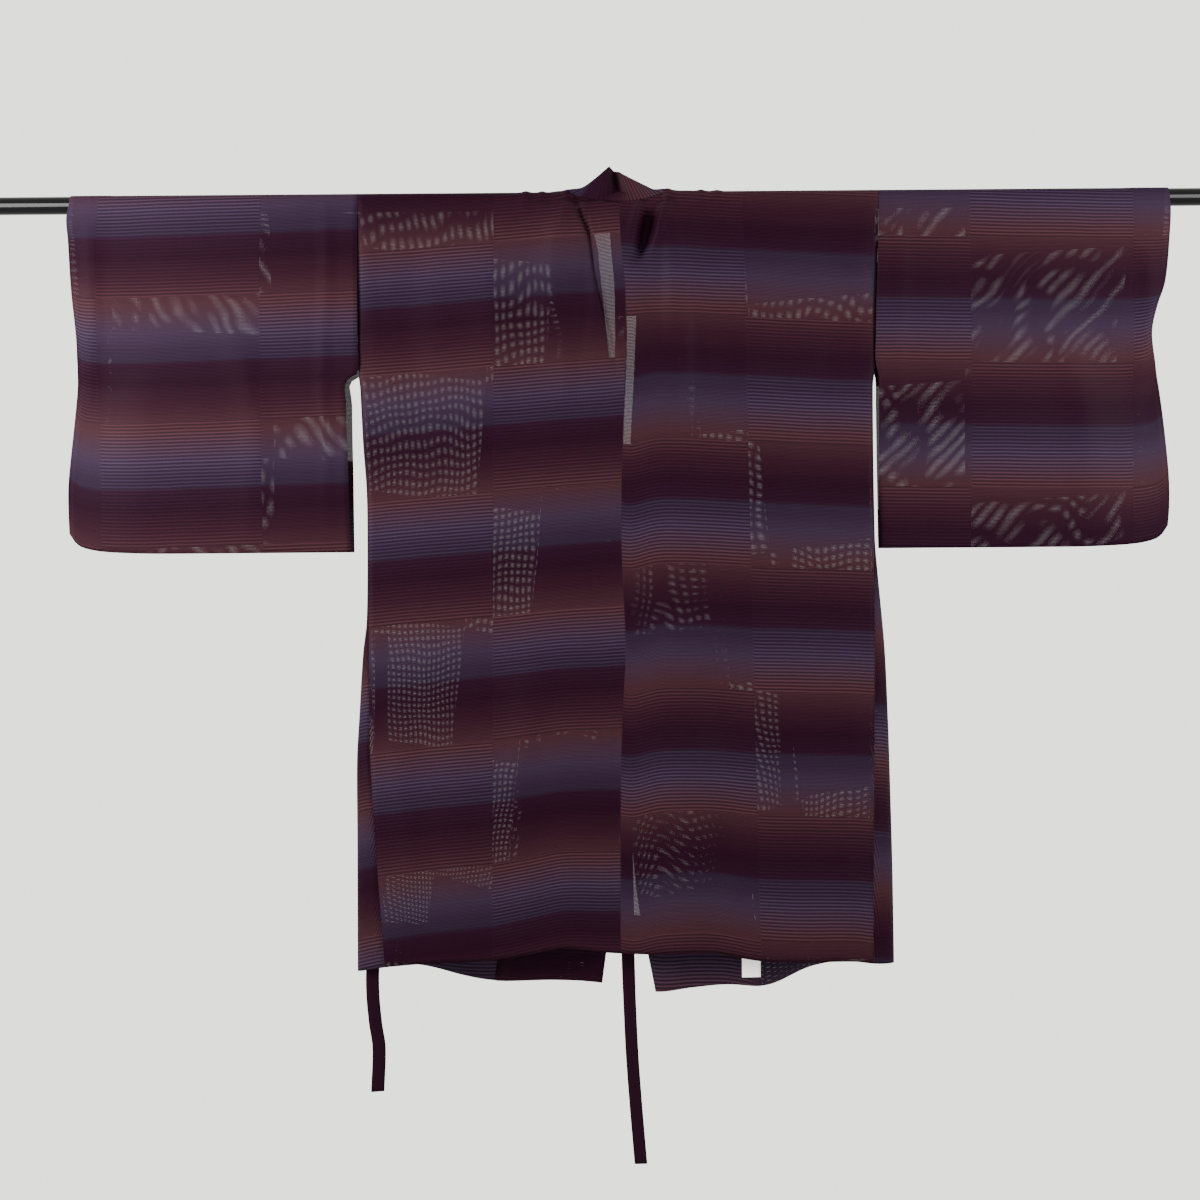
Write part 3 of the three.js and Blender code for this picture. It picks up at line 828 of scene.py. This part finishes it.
def overlap(name, front, mirror, settings, material):
    """The strip sewn to the front panel, pointed where it meets the collar.

    Its free edge is turned back inside as a facing as wide as the strip. Beside the collar the
    second layer is the allowance of the seam between them.
    """
    rows = []
    places = []
    columns = max(10, round(130 / settings.across_step))
    run = OVERLAPS[name]

    def place_on_cloth(x, down):
        lean = OVERLAP_LEAN * mirror * (down - OVERLAP_LEVEL)
        return x - run["line"] - lean, -QUARTER - down - mirror * OVERLAP_TILT * x

    def add(start, end, below, hemmed):
        points = []
        down = 2 * LEVEL_LENGTH - below if hemmed else below
        for j in range(columns + 1):
            point = front_point(lerp(start, end, j / columns), below)
            places.append(place_on_cloth(point.x, down))
            point.y -= hemmed * FOLD_GAP
            points.append(point)
        edge = places[-1][0]
        lean = run["lean"] if below > COLLAR_END else SEAM_LEAN
        for j in range(columns + 1):
            reach = (start - end) * FACING * j / columns
            point = front_point(end + reach, below)
            point.y -= (2 + hemmed * 0.6) * FOLD_GAP
            points.append(point)
            along = place_on_cloth(end, down)[1] - mirror * lean * abs(reach)
            places.append((edge + reach * run["warp"], along + FACING_SHIFT))
        rows.append(points)

    for below in steps(OVERLAP_TOP + 4, COLLAR_END - 0.5, settings.along_step):
        seam = smooth(front, "below", "seam", below) - mirror * SEAM / 2
        sewn = collar_edge(front, mirror, below) + mirror * SEAM
        if abs(sewn) > abs(seam) - 0.5:
            sewn = seam - mirror * 0.5
        add(seam, sewn, below, 0)
    levels = [(below, 0) for below in steps(COLLAR_END + 0.6, LEVEL_LENGTH, settings.along_step)]
    levels += [(below, 1) for below in HEM_LEVELS]
    for below, hemmed in levels:
        free = smooth(front, "below", "free", below)
        seam = smooth(front, "below", "seam", below) - mirror * SEAM / 2
        add(seam, free, below, hemmed)
    return gauze_sheet(name, rows, places, mirror > 0, settings.cloth, material)


def collar(settings, material):
    """One folded band from the left front, round the back of the neck, to the right front."""
    rows = []
    places = []
    columns = COLLAR_COLUMNS
    travelled = [0.0]

    def clear(point, across):
        """Moves a point out from the rod where it would lie too near."""
        reach = math.hypot(point.y, point.z)
        least = DRAPE + COLLAR_LIFT + COLLAR_BULGE * math.sin(math.pi * across)
        if reach < least:
            point.y *= least / reach
            point.z *= least / reach
        return point

    def add(points):
        if rows:
            travelled[0] += (points[columns // 2] - rows[-1][columns // 2]).length
        rows.append(points)
        for j in range(columns + 1):
            places.append((j / columns * COLLAR_WIDTH, travelled[0]))

    def straight(seam, free, dip=0.0):
        line = [seam.lerp(free, j / columns) for j in range(columns + 1)]
        for j, point in enumerate(line):
            point.y += dip * math.sin(math.pi * j / columns)
        add([clear(point, j / columns) for j, point in enumerate(line)])

    def front_row(front, mirror, below):
        free = smooth(front, "below", "free", below)
        sewn = collar_edge(front, mirror, below)
        points = []
        for j in range(columns + 1):
            point = front_point(lerp(sewn, free, j / columns), below)
            point.y += COLLAR_LIFT
            points.append(point)
        add(points)

    def neck_row(along, mirror):
        at = neck_at(along)
        above = SEAM * smoothstep(along, 0, DRAPE)
        side = "left" if mirror < 0 else "right"
        seam_x = at["seam" + side.capitalize()]
        seam = drape_point(mirror * (seam_x - SEAM / 2), along - above)
        straight(seam, Vector((at[side], at["y"], at[side + "Up"])))

    fronts = steps(COLLAR_END - SEAM, 0, settings.along_step)
    neck = steps(-15.5, NECK[-1]["along"], NECK_STEP)
    for below in fronts:
        front_row(LEFT_FRONT, -1, below)
    for along in neck:
        neck_row(along, -1)
    middle = drape_point(0, NECK_MIDDLE["along"] - SEAM)
    top = Vector((NECK_MIDDLE["left"], NECK_MIDDLE["y"], NECK_MIDDLE["leftUp"]))
    straight(middle, top, COLLAR_DIP)
    for along in reversed(neck):
        neck_row(along, 1)
    for below in reversed(fronts):
        front_row(RIGHT_FRONT, 1, below)
    return gauze_sheet("collar", rows, places, False, COLLAR_THICKNESS, material)


def sleeve(name, table, mirror, settings, material):
    """One loop of cloth over the rod, with a hem folded inwards at the cuff."""
    columns = round(SLEEVE_WIDTH / settings.across_step)
    shares = [j / columns for j in range(columns + 1)]
    hem_steps = 4
    rows = []
    places = []

    def lift(across):
        return CUFF_LIFT * smoothstep(across, 0.85, 0.88)

    def half(below, across):
        loose = smooth(SLEEVE_DEPTH, "below", "half", below)
        sewn = smooth(SLEEVE_DEPTH, "below", "sewn", below)
        lifted = lift(across) * (1 - smoothstep(below, 40, 100))
        return DRAPE + lerp(loose, sewn, smoothstep(across, 0.72, 1)) + lifted

    def leg_point(below, across, facing_y):
        inner = smooth(table, "below", "inner", below)
        if facing_y > 0 and mirror < 0:
            inner -= FAR_LAYER * smoothstep(below, 216, 240)
        cuff = smooth(table, "below", "cuff", below)
        x = mirror * lerp(inner, cuff, across)
        up = smooth(SLEEVE_ROUND, "across", "up", across)
        down = below * (SLEEVE_DROP - up) / SLEEVE_DROP
        out = max(crease_out(SLEEVE_CREASES, x, below), 0.0)
        reach = max(half(below, across), 1.0)
        return Vector((x, facing_y * (reach + out), -down))

    def add(place, along):
        points = []
        for across in shares:
            point = place(across)
            points.append(point)
            places.append(weave_sleeve(name, point.x, along))
        edge = points[-1]
        across0, along0 = places[-1]
        for j in range(hem_steps + 1):
            back = CUFF_HEM * (j / hem_steps)
            point = place(1 - back / SLEEVE_WIDTH)
            inwards = Vector((0, -point.y, -point.z if abs(along) < QUARTER else 0))
            if inwards.length > 1e-6:
                inwards.normalize()
            gap = settings.cloth * 1.1
            if abs(along) > QUARTER:
                gap = min(settings.cloth * 1.4, max(0.0, abs(point.y) - 0.3))
            if j == 0:
                point = edge + inwards * gap * 0.7
            else:
                point = point + inwards * gap
            points.append(point)
            places.append((across0 + mirror * back, along0))
        rows.append(points)

    legs = steps(SLEEVE_DROP - 1.0, 0, settings.along_step)
    for below in legs:
        add(lambda a, b=below: leg_point(b, a, -1), QUARTER + below)
    for along in steps(QUARTER, -QUARTER, 3.0)[1:-1]:
        def over(across, place=along):
            point = over_point(leg_point(0, across, -1).x, place)
            raised = 1 + lift(across) / DRAPE
            return Vector((point.x, point.y * raised, point.z * raised))
        add(over, along)
    for below in reversed(legs):
        add(lambda a, b=below: leg_point(b, a, 1), -QUARTER - below)
    return gauze_sheet(name, rows, places, mirror < 0, settings.cloth, material)


def tie(name, route, settings, material):
    """A flat folded strip along its route. Below the hem it hangs straight down."""
    rows = []
    places = []
    for down in steps(route[0]["down"], route[-1]["down"], settings.along_step):
        x = smooth(route, "down", "x", down)
        off = smooth(route, "down", "off", down)
        points = []
        for j in range(TIE_COLUMNS + 1):
            across = x + TIE_WIDTH * (j / TIE_COLUMNS - 0.5)
            cloth = front_point(across, min(down, LEVEL_LENGTH))
            points.append(Vector((across, cloth.y + off, -down)))
            places.append((across * MM, down * MM))
        rows.append(points)
    return sheet_mesh(name, rows, places, places, TIE_THICKNESS, material)


# The materials, made of nodes.

def linear(code):
    """A colour given as an sRGB hex code, made linear."""
    out = []
    for i in (1, 3, 5):
        c = int(code[i:i + 2], 16) / 255
        out.append(c / 12.92 if c <= 0.04045 else ((c + 0.055) / 1.055) ** 2.4)
    return (*out, 1.0)


def add_node(tree, kind, inputs=None, **options):
    """Adds a node, sets its options, and links or sets its inputs by name or number."""
    node = tree.nodes.new(kind)
    for option, value in options.items():
        setattr(node, option, value)
    for key, value in (inputs or {}).items():
        if isinstance(value, bpy.types.NodeSocket):
            tree.links.new(value, node.inputs[key])
        else:
            node.inputs[key].default_value = value
    return node


def calculate(tree, operation, *values):
    """One Math node, with a socket or a number for each input."""
    return add_node(tree, "ShaderNodeMath", dict(enumerate(values)), operation=operation).outputs[0]


def new_material(name):
    material = bpy.data.materials.new(name)
    material.use_nodes = True
    material.node_tree.nodes.clear()
    return material, material.node_tree


# The room, in metres, degrees and watts. The camera faces the back of the coat, and the picture's
# width is measured where the coat hangs.
ROOM_STRENGTH = 2.95
ROOM_DIMMING = 2.3
FLOOR_SIZE = 1.7
FLOOR_LEVEL = -1.65
LIGHTS = rows_of(
    "name place size power",
    ("key_light", (-1.3, -0.75, -0.05), 0.7, 74.0),
    ("fill_light", (1.35, -0.8, -0.05), 0.7, 48.0),
)
SENSOR = 36
PICTURE_WIDTH = 1.5
CAMERA_AWAY = 2.1
CAMERA_X = -0.028
CAMERA_Z = -0.498
CAMERA_TILT = -0.45

# The gauze's wandering and wefts, as scales of noise a metre, and how far the ribs rise in mm.
WANDER_SCALE = 14.0
WEFT_SCALE = 520.0
WEFT_SWING = 0.5
DOT_DEPTH = 0.3
RIB_HEIGHT = 0.3
RIB_MEAN = 0.36

# One repeat of the bands down the cloth, and how strongly the painted highlight and painted shade
# of the ribs stand out in each.
BANDS = rows_of(
    "at colour ribs",
    (0.0, "#5c4362", 1.0),
    (0.13, "#4e3453", 0.9),
    (0.2, "#493250", 0.7),
    (0.235, "#431637", 0.5),
    (0.38, "#3f0f2e", 0.45),
    (0.56, "#512338", 0.6),
    (0.76, "#6a3e49", 0.9),
    (0.88, "#654359", 1.0),
    (1.0, "#5c4362", 1.0),
)


def gauze_material(settings):
    """Fine leno gauze, woven in bands of dyed yarn, with open and closely ribbed blocks."""
    material, tree = new_material("woven_leno_gauze")

    def calc(operation, *values):
        return calculate(tree, operation, *values)

    def vector(operation, inputs):
        return add_node(tree, "ShaderNodeVectorMath", inputs, operation=operation).outputs[0]

    def wave(value, pitch):
        """A soft wave between 0 and 1, with its pitch in millimetres."""
        turn = calc("MULTIPLY", value, 2 * math.pi / (pitch * MM))
        return calc("MULTIPLY_ADD", calc("SINE", turn), 0.5, 0.5)

    def open_side(value, pitch):
        place = calc("FRACT", calc("DIVIDE", value, pitch * MM))
        return calc("LESS_THAN", place, settings.gauze_open)

    weave = add_node(tree, "ShaderNodeUVMap", uv_map="weave").outputs[0]
    blocks = add_node(tree, "ShaderNodeUVMap", uv_map="blocks").outputs[0]
    # the yarns wander a little, which swirls the light where two layers lie together
    noise = add_node(tree, "ShaderNodeTexNoise", {"Vector": weave, "Scale": WANDER_SCALE,
                                                  "Detail": 1.0}, noise_dimensions="2D")
    centred = vector("SUBTRACT", {0: noise.outputs["Color"], 1: (0.5, 0.5, 0.5)})
    shift = vector("SCALE", {0: centred, "Scale": settings.wander * MM})
    place = add_node(tree, "ShaderNodeSeparateXYZ", {0: vector("ADD", {0: weave, 1: shift})})
    across = place.outputs[0]
    along = place.outputs[1]

    # bands of colour down the cloth, with each weft a little different from the next
    band = calc("FRACT", calc("DIVIDE", along, settings.band))
    ramp = add_node(tree, "ShaderNodeValToRGB", {0: band})
    elements = ramp.color_ramp.elements
    while len(elements) < len(BANDS):
        elements.new(0.5)
    for element, row in zip(elements, BANDS):
        element.position = row["at"]
        element.color = linear(row["colour"])[:3] + (row["ribs"],)
    wefts = add_node(tree, "ShaderNodeTexNoise", {"W": along, "Scale": WEFT_SCALE, "Detail": 2.0},
                     noise_dimensions="1D").outputs[0]
    thread = calc("MULTIPLY_ADD", wefts, WEFT_SWING, 1 - WEFT_SWING / 2)

    # gauze or ribbed: the blocks lie like a chequerboard
    cell = add_node(tree, "ShaderNodeSeparateXYZ", {0: blocks})
    count = calc("ADD", calc("FLOOR", cell.outputs[0]), calc("FLOOR", cell.outputs[1]))
    gauze = calc("MODULO", count, 2.0)
    ribbed = calc("SUBTRACT", 1.0, gauze)

    # the openings between the yarns, small oblong holes in the gauze
    hole = calc("MULTIPLY", open_side(across, settings.pitch_across),
                open_side(along, settings.pitch_along))
    seen = calc("MULTIPLY", hole, gauze)
    cover = calc("SUBTRACT", 1.0, calc("MULTIPLY_ADD", ribbed, settings.rib_open, seen))

    # raised ribs along the weft, stronger in some bands than in others: the colour is lifted along
    # each rib's crest and darkened between the ribs by their height, which is painted highlight and
    # painted shade
    crest = calc("MULTIPLY", calc("POWER", wave(along, settings.rib), 1.5), ribbed)
    dots = calc("MULTIPLY_ADD", wave(across, settings.dot), DOT_DEPTH, 1 - DOT_DEPTH)
    height = calc("MULTIPLY", crest, dots)
    bump = add_node(tree, "ShaderNodeBump", {"Height": height, "Distance": RIB_HEIGHT * MM,
                                             "Strength": 1.0}).outputs[0]
    strength = calc("MULTIPLY", ramp.outputs["Alpha"], settings.rib_tone)
    swing = calc("SUBTRACT", height, calc("MULTIPLY", ribbed, RIB_MEAN))
    # painted highlight on the rib crests and painted shade between them, scaled by the rib height
    rib_light_and_shade = calc("MULTIPLY_ADD", swing, strength, 1.0)
    denser = calc("MULTIPLY_ADD", gauze, settings.gauze_tone - 1.0, 1.0)
    level = calc("MULTIPLY", calc("MULTIPLY", thread, rib_light_and_shade),
                 calc("MULTIPLY", denser, settings.tone))
    cloth = add_node(tree, "ShaderNodeBsdfPrincipled", {
        "Base Color": vector("SCALE", {0: ramp.outputs[0], "Scale": level}), "Roughness": 0.6,
        "Alpha": cover, "Normal": bump, "Specular IOR Level": 0.025})
    add_node(tree, "ShaderNodeOutputMaterial", {"Surface": cloth.outputs[0]})
    return material


def plain_material(name, colour, roughness, shine=0.5):
    material, tree = new_material(name)
    surface = add_node(tree, "ShaderNodeBsdfPrincipled", {
        "Base Color": linear(colour), "Roughness": roughness, "Specular IOR Level": shine})
    add_node(tree, "ShaderNodeOutputMaterial", {"Surface": surface.outputs[0]})
    return material


# The settings, the operators and the panel.

def number(name, description, default, **options):
    return FloatProperty(name=name, description=description, default=default, **options)


class CoatSettings(bpy.types.PropertyGroup):
    along_step: number("Row spacing", "Spacing of points down the cloth, mm", 6.0, min=2.0)
    across_step: number("Column spacing", "Spacing of points across, mm", 7.0, min=2.0)
    close_step: number("Close spacing", "Spacing of points across, beside the neck, mm", 2.2)
    cloth: number("Cloth", "Thickness of the gauze, mm", 0.4)
    band: number("Band", "Repeat of the colour bands", 0.157, unit="LENGTH")
    pitch_across: number("Pitch across", "Pitch of the warp pairs, mm", 0.9)
    pitch_along: number("Pitch along", "Pitch of the wefts, mm", 1.7)
    gauze_open: number("Gauze opening", "Share of the pitch left open", 0.45, subtype="FACTOR")
    gauze_tone: number("Gauze tone", "Brightness of the gauze's yarns", 1.15)
    rib_open: number("Rib opening", "Light that passes ribbed blocks", 0.025, subtype="FACTOR")
    rib: number("Rib", "Pitch of the ribs, mm", 4.3)
    rib_tone: number("Rib tone", "Contrast of the ribs", 1.3)
    dot: number("Dot", "Pitch of the twists along a rib, mm", 2.3)
    wander: number("Wander", "How far the yarns wander, mm", 1.6)
    tone: number("Tone", "Brightness of the dyes", 0.122)


def cloth_of():
    return bpy.data.materials.get("woven_leno_gauze") or gauze_material(bpy.context.scene.coat)


class COAT_OT_body(bpy.types.Operator):
    """Builds the two lengths of the body"""
    bl_idname = "coat.body"
    bl_label = "Body"

    def execute(self, context):
        for name, side, front, mirror in (("body_left", LEFT_SIDE, LEFT_FRONT, -1),
                                          ("body_right", RIGHT_SIDE, RIGHT_FRONT, 1)):
            piece = body_panel(name, side, front, mirror, context.scene.coat, cloth_of())
            finish_cloth(piece, name)
        return {"FINISHED"}


class COAT_OT_sides(bpy.types.Operator):
    """Builds the gussets and the overlaps"""
    bl_idname = "coat.sides"
    bl_label = "Gussets and overlaps"

    def execute(self, context):
        for make, name, table, mirror in ((gusset, "gusset_left", LEFT_SIDE, -1),
                                          (gusset, "gusset_right", RIGHT_SIDE, 1),
                                          (overlap, "overlap_left", LEFT_FRONT, -1),
                                          (overlap, "overlap_right", RIGHT_FRONT, 1)):
            finish_cloth(make(name, table, mirror, context.scene.coat, cloth_of()), name)
        return {"FINISHED"}


class COAT_OT_sleeves(bpy.types.Operator):
    """Builds the two sleeves"""
    bl_idname = "coat.sleeves"
    bl_label = "Sleeves"

    def execute(self, context):
        for name, table, mirror in (("sleeve_left", LEFT_SLEEVE, -1),
                                    ("sleeve_right", RIGHT_SLEEVE, 1)):
            finish_cloth(sleeve(name, table, mirror, context.scene.coat, cloth_of()), name)
        return {"FINISHED"}


class COAT_OT_collar(bpy.types.Operator):
    """Builds the collar band"""
    bl_idname = "coat.collar"
    bl_label = "Collar"

    def execute(self, context):
        finish_cloth(collar(context.scene.coat, cloth_of()), "collar")
        return {"FINISHED"}


class COAT_OT_ties(bpy.types.Operator):
    """Builds the four ties"""
    bl_idname = "coat.ties"
    bl_label = "Ties"

    def execute(self, context):
        material = plain_material("folded_gauze_strip", "#12030b", 0.7, 0.025)
        for name, route in TIES.items():
            piece = tie(name, route, context.scene.coat, material)
            piece.name = name + "_cloth"
            finish_piece(piece, name)
        return {"FINISHED"}


class COAT_OT_label(bpy.types.Operator):
    """Builds the blank label"""
    bl_idname = "coat.label"
    bl_label = "Label"

    def execute(self, context):
        material = plain_material("woven_polyester_tape", "#e9e7e4", 0.8)
        rows = []
        places = []
        for down in steps(LABEL["top"], LABEL["bottom"], 6):
            points = []
            for x in steps(LABEL["left"], LABEL["right"], 4):
                below = down * LEVEL_LENGTH / smooth(FRONT_HEM, "x", "down", x)
                y = front_point(x, below).y - LABEL["depth"] * FOLD_GAP
                points.append(Vector((x, y, -down)))
                places.append((x * MM, down * MM))
            rows.append(points)
        piece = sheet_mesh("label_tape", rows, places, places, LABEL["thickness"], material)
        finish_piece(piece, "label")
        return {"FINISHED"}


class COAT_OT_rod(bpy.types.Operator):
    """Builds the rod"""
    bl_idname = "coat.rod"
    bl_label = "Rod"

    def execute(self, context):
        bpy.ops.object.select_all(action="DESELECT")
        bpy.ops.mesh.primitive_cylinder_add(vertices=96, radius=ROD_RADIUS * MM,
                                            depth=ROD_LENGTH * MM, rotation=(0, math.pi / 2, 0))
        piece = context.object
        piece.name = "rod_tube"
        bpy.ops.object.transform_apply(location=True, rotation=True, scale=True)
        bevel = piece.modifiers.new("Edge", "BEVEL")
        bevel.width = 1.0 * MM
        bevel.segments = 3
        bevel.limit_method = "ANGLE"
        apply_all(piece)
        bpy.ops.object.shade_smooth_by_angle(angle=math.radians(35))
        piece.data.materials.clear()
        piece.data.materials.append(plain_material("enamelled_steel_tube", "#030304", 0.16, 0.08))
        finish_piece(piece, "rod")
        return {"FINISHED"}


class COAT_OT_stage(bpy.types.Operator):
    """Sets out the floor, the lights and the camera"""
    bl_idname = "coat.stage"
    bl_label = "Stage"

    def execute(self, context):
        scene = context.scene
        world = bpy.data.worlds.new("pale_room")
        world.use_nodes = True
        tree = world.node_tree
        background = tree.nodes["Background"]
        background.inputs["Color"].default_value = linear("#dededb")
        # the yarns' fuzz dims what is seen through the openings of the gauze
        passed = add_node(tree, "ShaderNodeLightPath").outputs["Transparent Depth"]
        dimmed = calculate(tree, "GREATER_THAN", passed, 0.5)
        strength = calculate(tree, "MULTIPLY_ADD", dimmed, -ROOM_DIMMING, ROOM_STRENGTH)
        tree.links.new(strength, background.inputs["Strength"])
        scene.world = world

        bpy.ops.object.select_all(action="DESELECT")
        bpy.ops.mesh.primitive_plane_add(size=FLOOR_SIZE, location=(0, 0, FLOOR_LEVEL))
        floor = context.object
        floor.name = "floor"
        bpy.ops.object.transform_apply(location=True, rotation=True, scale=True)
        floor.data.materials.append(plain_material("pale_floor", "#d8d7d5", 0.7))

        for row in LIGHTS:
            bpy.ops.object.light_add(type="AREA", location=row["place"])
            light = context.object
            light.name = row["name"]
            light.data.size = row["size"]
            light.data.energy = row["power"]
            aim = Vector((0.3 * row["place"][0], 0, -0.35)) - Vector(row["place"])
            light.rotation_euler = aim.to_track_quat("-Z", "Y").to_euler()

        bpy.ops.object.camera_add()
        camera = context.object
        camera.name = "camera"
        camera.data.lens = SENSOR * CAMERA_AWAY / PICTURE_WIDTH
        camera.data.sensor_width = SENSOR
        camera.data.clip_start = 0.05
        upright = Matrix.Rotation(math.radians(90), 4, "X")
        tilted = Matrix.Rotation(math.radians(CAMERA_TILT), 4, "Z")
        place = Matrix.Translation((CAMERA_X, -CAMERA_AWAY, CAMERA_Z))
        camera.matrix_world = place @ (upright @ tilted)
        scene.camera = camera
        return {"FINISHED"}


OPERATORS = (COAT_OT_rod, COAT_OT_body, COAT_OT_sides, COAT_OT_sleeves, COAT_OT_collar,
             COAT_OT_ties, COAT_OT_label, COAT_OT_stage)


class COAT_PT_panel(bpy.types.Panel):
    """The coat's settings and steps"""
    bl_idname = "COAT_PT_panel"
    bl_label = "Dochugi Coat"
    bl_space_type = "VIEW_3D"
    bl_region_type = "UI"
    bl_category = "Coat"

    def draw(self, context):
        settings = context.scene.coat
        for name in CoatSettings.__annotations__:
            self.layout.prop(settings, name)
        for operator in OPERATORS:
            self.layout.operator(operator.bl_idname)


def register():
    for item in (CoatSettings, *OPERATORS, COAT_PT_panel):
        bpy.utils.register_class(item)
    bpy.types.Scene.coat = PointerProperty(type=CoatSettings)


def unregister():
    del bpy.types.Scene.coat
    for item in reversed((CoatSettings, *OPERATORS, COAT_PT_panel)):
        bpy.utils.unregister_class(item)


def main():
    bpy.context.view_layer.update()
    register()
    for operator in OPERATORS:
        group, name = operator.bl_idname.split(".")
        result = getattr(getattr(bpy.ops, group), name)()
        if result != {"FINISHED"}:
            raise RuntimeError(operator.bl_label + " did not finish")


if __name__ == "__main__":
    main()
